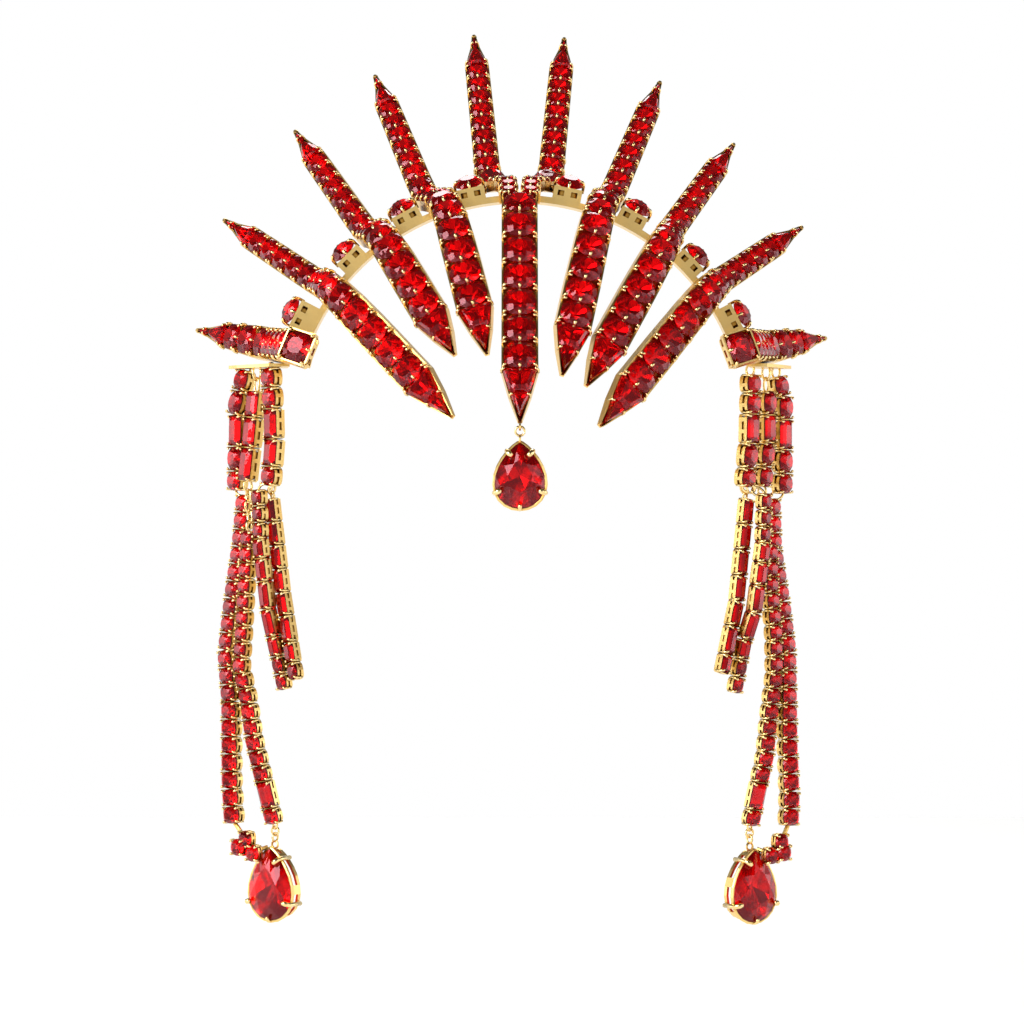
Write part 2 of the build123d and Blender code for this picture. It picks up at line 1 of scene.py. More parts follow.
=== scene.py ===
# %% [markdown]
# # A fringe tiara of foiled red glass in gold
#
# The piece is an arched headband that carries tapering rays of claw-set stones. A pear drop hangs on the
# forehead, and a tassel of box settings and cup chains hangs at each temple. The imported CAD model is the
# frame: it says where every stone, box and ring sits. This lesson cuts the stones, bends the claws and
# gives both materials the finish that the real ones have.

# %% Load the frame
from math import cos, pi, radians, sin

import bmesh
import bpy
import numpy as np
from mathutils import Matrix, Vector


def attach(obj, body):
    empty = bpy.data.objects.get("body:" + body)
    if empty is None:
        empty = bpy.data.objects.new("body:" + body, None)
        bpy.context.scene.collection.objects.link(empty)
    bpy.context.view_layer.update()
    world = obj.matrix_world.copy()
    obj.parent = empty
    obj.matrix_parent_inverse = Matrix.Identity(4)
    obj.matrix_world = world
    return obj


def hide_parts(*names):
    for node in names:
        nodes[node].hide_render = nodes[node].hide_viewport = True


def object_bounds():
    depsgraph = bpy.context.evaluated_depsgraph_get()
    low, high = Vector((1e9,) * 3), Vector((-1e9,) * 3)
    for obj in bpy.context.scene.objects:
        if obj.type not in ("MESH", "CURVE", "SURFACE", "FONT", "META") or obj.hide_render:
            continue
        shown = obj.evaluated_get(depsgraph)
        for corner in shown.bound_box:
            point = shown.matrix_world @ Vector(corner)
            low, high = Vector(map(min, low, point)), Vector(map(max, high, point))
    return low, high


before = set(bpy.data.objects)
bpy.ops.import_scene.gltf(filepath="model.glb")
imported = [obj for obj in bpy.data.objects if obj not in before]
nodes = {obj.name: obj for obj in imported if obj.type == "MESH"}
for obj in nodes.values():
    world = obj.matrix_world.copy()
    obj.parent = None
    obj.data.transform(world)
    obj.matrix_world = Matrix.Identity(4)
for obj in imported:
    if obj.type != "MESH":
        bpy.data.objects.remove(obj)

MM = 0.001
cad_box = [list(corner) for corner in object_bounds()]
print("nodes", len(nodes), "box", cad_box)

# %% [markdown]
# ## The camera
#
# The photograph was taken from straight in front with a long lens, so the rays that lean back look only a
# little smaller than those in front. A narrow angle from more than a metre away gives the same flatness.

# %% Camera
VIEW_WIDTH = 322.56 * MM
CAMERA_DISTANCE = 1100 * MM
CAMERA_RIGHT = -2.36 * MM
CAMERA_LEVEL = -97.46 * MM
SENSOR = 36.0

camera = bpy.data.objects.new("camera", bpy.data.cameras.new("camera"))
bpy.context.scene.collection.objects.link(camera)
camera.location = (CAMERA_RIGHT, -CAMERA_DISTANCE, CAMERA_LEVEL)
camera.rotation_euler = (pi / 2, 0, 0)
camera.data.sensor_width = SENSOR
camera.data.lens = SENSOR * CAMERA_DISTANCE / VIEW_WIDTH
bpy.context.scene.camera = camera
print("lens", round(camera.data.lens, 1), "mm")

# %% [markdown]
# ## Colours and nodes
#
# A colour picked on a screen is an sRGB value, and the renderer works with light, which is linear.
# One function turns one into the other, with the curve that the sRGB standard gives. Another adds a node
# with its settings and links, so that a material reads as a list of what it is made of.


# %% Helpers for materials
def colour(code):
    """Linear colour of an sRGB hex code."""
    shares = [int(code[place:place + 2], 16) / 255 for place in (1, 3, 5)]
    linear = [
        share / 12.92 if share <= 0.04045 else ((share + 0.055) / 1.055) ** 2.4
        for share in shares
    ]
    return (*linear, 1.0)


def node(tree, kind, settings=None, links=None):
    """Add a node with its settings, by attribute or input name, and links of input to output socket."""
    made = tree.nodes.new(kind)
    for name, value in (settings or {}).items():
        if name in made.inputs:
            made.inputs[name].default_value = value
        else:
            setattr(made, name, value)
    for name, source in (links or {}).items():
        tree.links.new(made.inputs[name], source)
    return made


def surface(name, settings, links=None):
    """A material with one Principled surface. The links are made by a function of its node tree."""
    material = bpy.data.materials.new(name)
    material.use_nodes = True
    tree = material.node_tree
    tree.nodes.clear()
    made = links(tree) if links else {}
    shader = node(tree, "ShaderNodeBsdfPrincipled", settings, made)
    node(tree, "ShaderNodeOutputMaterial", links={"Surface": shader.outputs[0]})
    return material


print("a screen's middle grey is", round(colour("#808080")[0], 3), "of white in linear light")

# %% [markdown]
# ## Foiled lead glass
#
# The stones are moulded and polished lead glass, ruby red, with a mirror foil fired onto the back. Light
# goes in through the crown, turns red, meets the foil and comes out through another facet. One glass for
# the crown and a tinted mirror on the pavilion, on the same closed mesh, do what the real stone does.
# Lead glass has an index of about 1.6. To the eye, the glass gives the clear depth and the small sharp
# lights, and the foil gives the red at the bottom of each stone: partly by its tinted mirror, and partly by
# a faint painted glow that keeps its darkest red bright.
#
# The scale of a noise is in waves for each metre of the object, so 330 makes waves of about 3 mm.

# %% Ruby glass and its foil
LEAD_GLASS_IOR = 1.62
GLASS_WAVES = 330.0
FOIL_SPOTS = 140.0


def glass_marks(tree):
    """Faint waves of moulded glass, about 3 mm apart."""
    place = node(tree, "ShaderNodeTexCoord")
    waves = node(tree, "ShaderNodeTexNoise", {"Scale": GLASS_WAVES, "Detail": 2.0},
                 {"Vector": place.outputs["Object"]})
    bump = node(tree, "ShaderNodeBump", {"Strength": 0.05, "Distance": 0.4 * MM},
                {"Height": waves.outputs["Fac"]})
    return {"Normal": bump.outputs["Normal"]}


ruby_glass = surface("foiled_lead_glass_ruby", {
    "Base Color": colour("#F0303C"),
    "Roughness": 0.015,
    "IOR": LEAD_GLASS_IOR,
    "Specular Tint": colour("#FFB0BA"),
    "Transmission Weight": 1.0,
}, glass_marks)


def foil_tints(tree):
    """Foil that is a little darker from stone to stone and spot to spot, about 7 mm apart."""
    place = node(tree, "ShaderNodeTexCoord")
    spots = node(tree, "ShaderNodeTexNoise", {"Scale": FOIL_SPOTS, "Detail": 3.0},
                 {"Vector": place.outputs["Object"]})
    ramp = node(tree, "ShaderNodeValToRGB", links={"Fac": spots.outputs["Fac"]})
    ramp.color_ramp.elements[0].position = 0.3
    ramp.color_ramp.elements[0].color = colour("#A01420")
    ramp.color_ramp.elements[1].position = 0.7
    ramp.color_ramp.elements[1].color = colour("#FF3038")
    return {"Base Color": ramp.outputs["Color"]}


ruby_foil_and_glow = surface("fired_mirror_foil_painted_glow", {
    "Metallic": 1.0,
    "Roughness": 0.15,
    # Painted light: a faint red emission makes the foil glow, so the darkest red in each stone stays
    # bright.
    "Emission Color": colour("#FF0206"),
    "Emission Strength": 0.055,
}, foil_tints)
print("glass", ruby_glass.name, "and foil", ruby_foil_and_glow.name)

# %% [markdown]
# ## Gold plate
#
# Cast and soldered brass with a bright gold plate. The claws are burnished, so they take sharp lights. The
# channels, boxes and strips are satin, with a fine grain from the file and a tone that varies at random.
# Their colour is also darkened in the corners and recesses as painted shade, found by an occlusion test. To
# the eye, the dark corners give each box its depth, and the bright claws are points of light between the
# stones.

# %% Two finishes of gold plate
FILE_GRAIN = 2200.0
SATIN_CLOUDS = 260.0
BURNISHED_CLOUDS = 500.0
# Painted shade: within this reach of other gold, the satin colour is darkened in corners and recesses.
PAINTED_SHADE_REACH = 2.2 * MM


def satin_grain_and_painted_shade(tree):
    """Painted shade in recesses, uneven tone and roughness, and a fine grain of about half a millimetre."""
    place = node(tree, "ShaderNodeTexCoord")
    grain = node(tree, "ShaderNodeTexNoise", {"Scale": FILE_GRAIN, "Detail": 4.0},
                 {"Vector": place.outputs["Object"]})
    cloud = node(tree, "ShaderNodeTexNoise", {"Scale": SATIN_CLOUDS, "Detail": 5.0},
                 {"Vector": place.outputs["Object"]})
    # Painted shade: ambient occlusion darkens the colour where parts crowd in, times a random tone from the
    # clouds.
    painted_recess_shade = node(tree, "ShaderNodeAmbientOcclusion", {"Distance": PAINTED_SHADE_REACH, "samples": 8})
    tone = node(tree, "ShaderNodeMath", {"operation": "MULTIPLY"})
    tree.links.new(tone.inputs[0], painted_recess_shade.outputs["AO"])
    lift = node(tree, "ShaderNodeMapRange", {"To Min": 0.72, "To Max": 1.1},
                {"Value": cloud.outputs["Fac"]})
    tree.links.new(tone.inputs[1], lift.outputs["Result"])
    ramp = node(tree, "ShaderNodeValToRGB", links={"Fac": tone.outputs["Value"]})
    # The dark end of the ramp is the painted shade of the recesses.
    ramp.color_ramp.elements[0].position = 0.18
    ramp.color_ramp.elements[0].color = colour("#4A2C08")
    ramp.color_ramp.elements[1].position = 0.85
    ramp.color_ramp.elements[1].color = colour("#F4D084")
    middle = ramp.color_ramp.elements.new(0.5)
    middle.color = colour("#C8953E")
    rough = node(tree, "ShaderNodeMapRange", {"To Min": 0.22, "To Max": 0.42},
                 {"Value": cloud.outputs["Fac"]})
    bump = node(tree, "ShaderNodeBump", {"Strength": 0.25, "Distance": 0.12 * MM},
                {"Height": grain.outputs["Fac"]})
    return {"Base Color": ramp.outputs["Color"], "Roughness": rough.outputs["Result"],
            "Normal": bump.outputs["Normal"]}


def burnish_marks(tree):
    """A bright plate with a soft unevenness, about 2 mm from cloud to cloud."""
    place = node(tree, "ShaderNodeTexCoord")
    cloud = node(tree, "ShaderNodeTexNoise", {"Scale": BURNISHED_CLOUDS, "Detail": 3.0},
                 {"Vector": place.outputs["Object"]})
    ramp = node(tree, "ShaderNodeValToRGB", links={"Fac": cloud.outputs["Fac"]})
    ramp.color_ramp.elements[0].color = colour("#E4BC66")
    ramp.color_ramp.elements[1].color = colour("#FFECB8")
    rough = node(tree, "ShaderNodeMapRange", {"To Min": 0.12, "To Max": 0.28},
                 {"Value": cloud.outputs["Fac"]})
    return {"Base Color": ramp.outputs["Color"], "Roughness": rough.outputs["Result"]}


# The satin plate carries painted shade in its corners and recesses.
satin_gold_painted_shade = surface("gold_plated_brass_satin_painted_shade", {"Metallic": 1.0}, satin_grain_and_painted_shade)
burnished_gold = surface("gold_plated_brass_burnished", {"Metallic": 1.0}, burnish_marks)
print("gold", satin_gold_painted_shade.name, "and", burnished_gold.name)

# %% [markdown]
# ## Shapes as points and faces
#
# Every piece here repeats a small shape many times: a cut stone, a claw, a rail. Each shape is a pair of a
# point array and a list of faces in its own seat, with x across, y along and z out through the table. A
# seat places it, and all shapes of a piece are joined in one mesh.


# %% Seats, joining and pieces
class Seat:
    """Where a setting sits: its middle, its directions, and the half sizes of its stone, in millimetres."""

    def __init__(self, middle, along, out, half_width, half_length):
        self.middle = np.array(middle)
        self.out = unit(out)
        self.across = unit(np.cross(along, self.out))
        self.along = np.cross(self.out, self.across)
        self.half_width = half_width
        self.half_length = half_length

    def place(self, shape):
        """A shape moved from its own seat to this one."""
        points, faces = shape
        axes = np.array([self.across, self.along, self.out])
        return np.asarray(points) @ axes + self.middle, faces


def unit(vector):
    """The vector at length one."""
    vector = np.asarray(vector, float)
    return vector / np.linalg.norm(vector)


def piece(name, shapes, materials, body, smooth=False):
    """One mesh object of many shapes. A face may be a pair of its corners and its material's number."""
    points, faces, numbers = [], [], []
    for shape_points, shape_faces in shapes:
        first = sum(len(group) for group in points)
        points.append(np.asarray(shape_points))
        for face in shape_faces:
            corners, number = face if isinstance(face[0], tuple) else (face, 0)
            faces.append([first + corner for corner in corners])
            numbers.append(number)
    mesh = bpy.data.meshes.new(name)
    mesh.from_pydata((np.concatenate(points) * MM).tolist(), [], faces)
    mesh.polygons.foreach_set("material_index", numbers)
    mesh.polygons.foreach_set("use_smooth", [smooth] * len(faces))
    for material in materials:
        mesh.materials.append(material)
    mesh.update()
    made = bpy.data.objects.new(name, mesh)
    bpy.context.scene.collection.objects.link(made)
    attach(made, body)
    return made


print("one millimetre is", MM, "of the scene's units")

# %% [markdown]
# ## Reading the seats from the frame
#
# Each CAD stone is a loose faceted solid: its largest face is the table, its lowest point the culet, and
# the rest of its corners are the girdle. The strands of the tassels are boxes joined by bars, and the front
# of each box is a whole rectangle that faces outward. Both give a seat.


# %% Read stones and boxes
FRONT_AREA = 15.0
FACES_FRONT = 0.3
JOIN_DISTANCE = 0.004
FLAT_ANGLE = radians(0.4)


def flat_mesh(name):
    """A CAD node's mesh with its corners joined and its flat faces whole, in millimetres."""
    mesh = bmesh.new()
    mesh.from_mesh(nodes[name].data)
    bmesh.ops.scale(mesh, vec=Vector((1, 1, 1)) / MM, verts=mesh.verts)
    bmesh.ops.remove_doubles(mesh, verts=mesh.verts, dist=JOIN_DISTANCE)
    bmesh.ops.dissolve_limit(mesh, angle_limit=FLAT_ANGLE, verts=mesh.verts, edges=mesh.edges)
    return mesh


def loose_groups(mesh):
    """The corners of each loose solid."""
    left = set(mesh.verts)
    while left:
        group, edge = set(), [next(iter(left))]
        while edge:
            corner = edge.pop()
            if corner not in group:
                group.add(corner)
                edge += [link.other_vert(corner) for link in corner.link_edges]
        left -= group
        yield group


def read_stones(name):
    """Each stone of a CAD node, front to back, as its middle, direction out and girdle corners."""
    mesh = flat_mesh(name)
    stones = []
    for group in loose_groups(mesh):
        faces = {face for corner in group for face in corner.link_faces}
        table = max(faces, key=lambda face: (len(face.verts), face.calc_area()))
        heart = np.mean([corner.co for corner in group], axis=0)
        middle_of_table = np.array(table.calc_center_median())
        out = unit(table.normal)
        if np.dot(out, middle_of_table - heart) < 0:
            out = -out
        sides = [np.array(corner.co) for corner in group if corner not in set(table.verts)]
        sides.sort(key=lambda place: np.dot(place, out))
        girdle = sides[1:]
        stones.append((np.mean(girdle, axis=0), out, np.array(girdle)))
    mesh.free()
    return sorted(stones, key=lambda stone: stone[0][1])


def seats_of(name, along=None):
    """A seat for each stone of a run, each facing its neighbours along the run."""
    stones = read_stones(name)
    middles = np.array([middle for middle, _, _ in stones])
    seats = []
    for number, (middle, out, girdle) in enumerate(stones):
        ahead = middles[min(number + 1, len(stones) - 1)] - middles[max(number - 1, 0)]
        seat = Seat(middle, along if along is not None else ahead, out, 0, 0)
        flat = (girdle - middle) @ np.array([seat.across, seat.along]).T
        seat.girdle = flat[np.argsort(np.arctan2(flat[:, 1], flat[:, 0]))]
        seat.half_width, seat.half_length = np.abs(seat.girdle).max(axis=0)
        seats.append(seat)
    return seats


def boxes_of(name, hand):
    """A seat for each box of a strand, top to bottom: its front is the rectangle that faces outward."""
    mesh = flat_mesh(name)
    seats = []
    for face in mesh.faces:
        normal = np.array(face.normal)
        turned_away = normal[1] > -FACES_FRONT or normal[0] * hand < FACES_FRONT
        if turned_away or face.calc_area() < FRONT_AREA:
            continue
        corners = np.array([corner.co for corner in face.verts])
        edge = max(corners - np.roll(corners, 1, axis=0), key=np.linalg.norm)
        axes = [unit(edge), unit(np.cross(edge, normal))]
        axes.sort(key=lambda axis: abs(axis[2]))
        up = axes[1] * np.sign(axes[1][2])
        seat = Seat(corners.mean(axis=0), up, normal, 0, 0)
        flat = (corners - seat.middle) @ np.array([seat.across, seat.along]).T
        low, high = flat.min(axis=0), flat.max(axis=0)
        shift = (low + high) / 2
        seat.middle = seat.middle + seat.across * shift[0] + seat.along * shift[1]
        seat.half_width, seat.half_length = (high - low) / 2
        seats.append(seat)
    mesh.free()
    return sorted(seats, key=lambda seat: -seat.middle[2])


print("the headband carries", len(seats_of("headband_stones", along=(0, 1, 0))), "single stones")

# %% [markdown]
# ## Cutting a stone
#
# A round stone has the brilliant cut: a table, a ring of star facets, kites, and two small facets between
# each pair of kites. Long stones have the step cut, with straight rows of facets. Both end behind in a
# pavilion that carries the foil, which is the second material.


# %% Cuts
GIRDLE_EDGE = 0.1
STAR_SHARE = 0.8
STAR_RISE = 0.62
MAIN_SHARE = 0.5
MAIN_DROP = 0.56
CORNER_CUT = 0.18


def rounded(half_width, half_length, sides=16, fullness=2.3):
    """Outline of a round stone, a little squarer than an ellipse."""
    turns = [2 * pi * step / sides for step in range(sides)]
    power = 2 / fullness
    return np.array([(half_width * np.sign(cos(turn)) * abs(cos(turn)) ** power,
                      half_length * np.sign(sin(turn)) * abs(sin(turn)) ** power) for turn in turns])


def baguette(half_width, half_length):
    """Outline of a baguette with small corners cut off, counter-clockwise."""
    cut = CORNER_CUT * half_width
    quarter = [(half_width, half_length - cut), (half_width - cut, half_length)]
    corners = quarter + [(-x, y) for x, y in reversed(quarter)]
    return np.array(corners + [(-x, -y) for x, y in corners])


def ring(outline, share, height):
    """An outline scaled about its middle, at a height."""
    middle = outline.mean(axis=0)
    flat = middle + (outline - middle) * share
    return [(x, y, height) for x, y in flat]


print("a round outline has", len(rounded(4, 4)), "corners and a baguette", len(baguette(2, 4)))

# %% [markdown]
# ## The facets of the brilliant cut
#
# The rings of the cut are scaled copies of the outline at several heights. Every second corner of a ring
# is used, shifted by one from ring to ring, and that makes the kites. A facet belongs to the foil when all
# its corners lie below the girdle.


# %% The brilliant cut
def brilliant(outline, crown, depth, table_share=0.54):
    """A brilliant-cut stone on an outline with an even number of corners."""
    count = len(outline)
    half = count // 2
    middle = outline.mean(axis=0)
    points = ring(outline, 1, GIRDLE_EDGE) + ring(outline, 1, -GIRDLE_EDGE)
    points += ring(outline, STAR_SHARE, crown * STAR_RISE)[1::2] + ring(outline, table_share, crown)[::2]
    points += ring(outline, MAIN_SHARE, -depth * MAIN_DROP)[1::2] + [(*middle, -depth)]
    low, star, table, main = count, 2 * count, 2 * count + half, 3 * count
    culet = main + half
    faces = [tuple(table + step for step in range(half))]
    for step in range(half):
        here, after, last = 2 * step, (2 * step + 2) % count, (step - 1) % half
        faces.append((table + step, star + step, table + (step + 1) % half))
        faces.append((table + step, star + last, here, star + step))
        faces.append((star + step, here, here + 1))
        faces.append((star + step, here + 1, after))
        faces.append((culet, main + step, low + here, main + last))
        faces.append((main + step, low + here + 1, low + here))
        faces.append((main + step, low + after, low + here + 1))
    faces += [(step, low + step, low + (step + 1) % count, (step + 1) % count) for step in range(count)]
    foiled = {*range(low, star), *range(main, culet + 1)}
    return np.array(points), [(face, int(foiled.issuperset(face))) for face in faces]


print("a round stone has", len(brilliant(rounded(4, 4), 1.4, 2.6)[1]), "facets")

# %% [markdown]
# ## The facets of the step cut
#
# Baguettes and the pointed stones have rows of facets along their edges, like the steps of a low roof. The
# rows keep the outline's corners, so that one function serves every outline.

# %% The step cut
CROWN_STEPS = ((0, 0), (0.55, 0.55), (1.3, 1))
PAVILION_STEPS = (((1, 1), 0), ((0.6, 0.82), 0.6), ((0.08, 0.6), 1))


def step_cut(outline, crown, depth, bevel=0.32):
    """A step-cut stone: rows of facets in from the outline, and a keel behind."""
    count = len(outline)
    middle = outline.mean(axis=0)
    half = np.abs(outline - middle).max(axis=0)
    inset = bevel * half.min()
    points = []
    for share, rise in reversed(CROWN_STEPS):
        flat = middle + (outline - middle) * (1 - share * inset / half)
        points += [(x, y, crown * rise if rise else GIRDLE_EDGE) for x, y in flat]
    for shares, drop in PAVILION_STEPS:
        flat = middle + (outline - middle) * shares
        points += [(x, y, -depth * drop if drop else -GIRDLE_EDGE) for x, y in flat]
    faces = [(tuple(range(count)), 0)]
    for row in range(5):
        for step in range(count):
            near, far = row * count + step, row * count + (step + 1) % count
            faces.append(((near, near + count, far + count, far), int(row > 2)))
    faces.append((tuple(5 * count + count - 1 - step for step in range(count)), 1))
    return np.array(points), faces


print("a baguette has", len(step_cut(baguette(2, 4), 1.4, 2)[1]), "facets")

# %% [markdown]
# ## Claws, rods and walls
#
# A claw is a short wire that is bent over the stone's edge and filed round. A jump ring is a wire closed on
# itself. Both are rods that follow points. The claw's profile gives, for each point of the wire, how far it
# reaches over the stone, how high it is, and its radius.

# %% Rods and claws
CLAW_WIRE = 0.36
CLAW_PROFILE = (
    (0, 0.0, CLAW_WIRE), (0.16, 0.55, 0.38), (0.5, 0.92, 0.44), (0.85, 0.98, 0.42), (1.12, 0.86, 0.2),
)
GUIDE = (0.31, 0.53, 0.79)


def rod(path, radii, sides=8, closed=False):
    """A wire along points, with a radius at each. Its ends are rounded by the radii."""
    path = np.asarray(path, float)
    count = len(path)
    points, faces = [], []
    guide = unit(np.cross(path[1] - path[0], GUIDE))
    for number, place in enumerate(path):
        ahead = path[(number + 1) % count] if closed or number < count - 1 else place
        behind = path[number - 1] if closed or number else place
        tangent = unit(ahead - behind)
        guide = unit(guide - tangent * np.dot(guide, tangent))
        other = np.cross(tangent, guide)
        for side in range(sides):
            turn = 2 * pi * side / sides
            points.append(place + (guide * cos(turn) + other * sin(turn)) * radii[number])
    for number in range(count if closed else count - 1):
        for side in range(sides):
            after = (side + 1) % sides
            near, far = number * sides, ((number + 1) % count) * sides
            faces.append((near + side, near + after, far + after, far + side))
    if not closed:
        faces.append(tuple(range(sides - 1, -1, -1)))
        faces.append(tuple((count - 1) * sides + side for side in range(sides)))
    return np.array(points), faces


def claw(x, y, lean, size=1.0, root=-1.2):
    """A claw at x, y that leans over the stone in the direction lean."""
    lean = unit([*lean, 0])
    foot = np.array([x, y, 0.0])
    path = [foot + (0, 0, root)]
    path += [foot + lean * (reach * size) + (0, 0, rise * size) for reach, rise, _ in CLAW_PROFILE]
    radii = [CLAW_WIRE * size] + [radius * size for _, _, radius in CLAW_PROFILE]
    return rod(path, radii, sides=7)


print("a claw has", len(claw(0, 0, (0, 1))[0]), "points")

# %% [markdown]
# ## Walls
#
# A box setting is a wall with small windows. It is made of two bands that follow an outline, one high and
# one low, with short posts between them. The openings between the posts are the windows.


# %% Bands and posts
def inward(outline):
    """The direction into an outline at each corner."""
    ahead = np.roll(outline, -1, axis=0) - np.roll(outline, 1, axis=0)
    return np.array([unit((-y, x)) for x, y in ahead])


def band(outline, high, low, thickness, taper=1.0):
    """A closed wall round an outline from a high to a low level."""
    count = len(outline)
    inner = outline + inward(outline) * thickness
    rows = [(outline, high), (outline * taper, low), (inner * taper, low), (inner, high)]
    points = [(x, y, level) for flat, level in rows for x, y in flat]
    faces = []
    for row in range(4):
        for step in range(count):
            after = (step + 1) % count
            near, far = row * count, ((row + 1) % 4) * count
            faces.append((near + step, far + step, far + after, near + after))
    return np.array(points), faces


def posts(outline, high, low, thickness, numbers, taper=1.0):
    """Short pieces of wall between two bands, at the numbered steps of an outline."""
    inner = outline + inward(outline) * thickness
    shapes = []
    for number in numbers:
        after = (number + 1) % len(outline)
        flat = [outline[number], outline[after], inner[after], inner[number]]
        points = [(x, y, high) for x, y in flat] + [(x * taper, y * taper, low) for x, y in flat]
        faces = [(0, 1, 5, 4), (1, 2, 6, 5), (2, 3, 7, 6), (3, 0, 4, 7), (3, 2, 1, 0), (4, 5, 6, 7)]
        shapes.append((np.array(points), faces))
    return shapes


def evenly(outline, count):
    """An outline with its corners moved to equal steps."""
    closed = np.vstack([outline, outline[:1]])
    reach = np.concatenate([[0], np.cumsum(np.linalg.norm(np.diff(closed, axis=0), axis=1))])
    places = np.arange(count) * reach[-1] / count
    return np.column_stack([np.interp(places, reach, closed[:, axis]) for axis in (0, 1)])


print("a wall of 20 steps has", len(band(evenly(rounded(3, 3), 20), 0, -1, 0.4)[1]), "faces in each band")

# %% [markdown]
# ## The rays and points
#
# Each ribbon is a row of round stones that ends in long pointed ones. The stones nearly touch. At each
# junction two small claws stand on each rail, and each round stone has one larger claw in the middle of its
# lower edge. The stones are set over the rails, so they are a little wider than the CAD stones.

# %% Stones and claws of the ribbons
SIDES = ("left_outer", "left_middle", "left_inner", "centre", "right_inner", "right_middle", "right_outer")
RIBBONS = [f"ray_stones_{side}" for side in SIDES]
RIBBONS += [f"{part}_stones_{side}" for part in ("crest", "temple") for side in ("left", "right")]
STONE_TO_RAIL = 0.82
ROUND_GROW = (1.11, 1.03)
POINTED_GROW = (1.17, 1.02)
CLAW_INSET = 0.42
SIDE_CLAW_BACK = 0.3
LOWER_CLAW_OUT = 0.2
TIP_CLAW_OUT = 0.25
SIDE_LEAN = (0.85, 0.5)


def pointed_ends(name, count):
    """The numbers of the long stones at the ends of a run."""
    ends = [0, 1] if name.startswith("ray") else []
    if name != "ray_stones_centre":
        ends += [count - 2, count - 1]
    return ends


for name in RIBBONS:
    seats = seats_of(name)
    ends = pointed_ends(name, len(seats))
    gems, claws = [], []
    for number, seat in enumerate(seats):
        wide, long = seat.half_width, seat.half_length
        edge = wide / STONE_TO_RAIL - CLAW_INSET
        if number in ends:
            outline = seat.girdle * POINTED_GROW
            gems.append(seat.place(step_cut(outline, min(1.7, wide * 0.6), min(2.4, wide * 0.9))))
            widest = seat.girdle[np.argmax(seat.girdle[:, 0])]
            for side in (-1, 1):
                x = side * (widest[0] * POINTED_GROW[0] + TIP_CLAW_OUT)
                claws.append(seat.place(claw(x, widest[1], (-side, 0.1), 0.8 + 0.05 * wide)))
        else:
            outline = rounded(wide * ROUND_GROW[0], long * ROUND_GROW[1], fullness=2.5)
            gems.append(seat.place(brilliant(outline, wide * 0.4, wide * 0.6)))
            size = 0.65 + 0.12 * wide
            claws.append(seat.place(claw(0, -long - LOWER_CLAW_OUT, (0, 1), size)))
            for side in (-1, 1):
                for end in (-1, 1):
                    lean = (-side * SIDE_LEAN[0], -end * SIDE_LEAN[1])
                    y = end * (long - SIDE_CLAW_BACK)
                    claws.append(seat.place(claw(side * edge, y, lean, size * 0.9)))
    stones = piece(name.replace("stones", "gems"), gems, [ruby_glass, ruby_foil_and_glow], "tiara")
    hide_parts(name)
    piece(name.replace("stones", "claws"), claws, [burnished_gold], "tiara", smooth=True)
    print(name, len(seats), "stones")

# %% [markdown]
# ## Ends of the temple points
#
# The front stone at each temple sits in a box with slots that closes the end of its channel.

# %% Boxes at the temples
END_BOX = (5.3, 4.9)
END_WALL = 0.5
END_TOP_BAND = (0.35, -1.1)
END_LOW_BAND = (-2.6, -3.6)
END_STEPS = 32

for side in ("left", "right"):
    seat = seats_of(f"temple_stones_{side}")[0]
    wall = evenly(baguette(*END_BOX), END_STEPS)
    shapes = [band(wall, *END_TOP_BAND, END_WALL), band(wall, *END_LOW_BAND, END_WALL)]
    shapes += posts(wall, END_TOP_BAND[1], END_LOW_BAND[0], END_WALL, range(1, END_STEPS, 3))
    piece(f"temple_box_{side}", [seat.place(shape) for shape in shapes], [satin_gold_painted_shade], "tiara")
    print("temple box", side, "at", seat.middle.round(1))

# %% [markdown]
# ## The single stones of the headband
#
# Each sits in a square box collet with windows, held by four claws, one on each side. The stones are set
# leaning forward, so that they show above the box. A liner behind the windows closes the box.

# %% Headband stones
FORWARD_LEAN = 0.42
RAISE = 1.7
SINGLE_GROW = 1.12
SINGLE_CLAW_OUT = 0.6
LINER = 3.7
LINER_LEVELS = (-0.7, -3.4)
LINER_WALL = 0.3

gems, claws, liners = [], [], []
for seat in seats_of("headband_stones", along=(0, 1, 0)):
    wide, long = seat.half_width, seat.half_length
    raised = seat.middle + seat.out * RAISE
    leaning = Seat(raised, seat.along, seat.out + (0, -FORWARD_LEAN, 0), wide, long)
    outline = rounded(wide * SINGLE_GROW, long * SINGLE_GROW)
    gems.append(leaning.place(brilliant(outline, wide * 0.52, wide * 0.6)))
    for x, y in ((1, 0), (-1, 0), (0, 1), (0, -1)):
        foot = (x * (wide + SINGLE_CLAW_OUT), y * (long + SINGLE_CLAW_OUT))
        claws.append(leaning.place(claw(*foot, (-x, -y), 1.3, root=-2.4)))
    liners.append(seat.place(band(rounded(LINER, LINER, 16, 4), *LINER_LEVELS, LINER_WALL)))
stones = piece("headband_gems", gems, [ruby_glass, ruby_foil_and_glow], "tiara")
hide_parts("headband_stones")
piece("headband_claws", claws, [burnished_gold], "tiara", smooth=True)
piece("headband_liners", liners, [satin_gold_painted_shade], "tiara")
print(len(gems), "single stones with", len(claws), "claws")

# %% [markdown]
# ## Tassels and chains
#
# Every box of a strand becomes a setting: a windowed wall, four corner claws, and a stone that is round in
# a short box and a baguette in a long one. A small bar behind joins it to the next. In the table each
# strand has the depth of its boxes in millimetres.

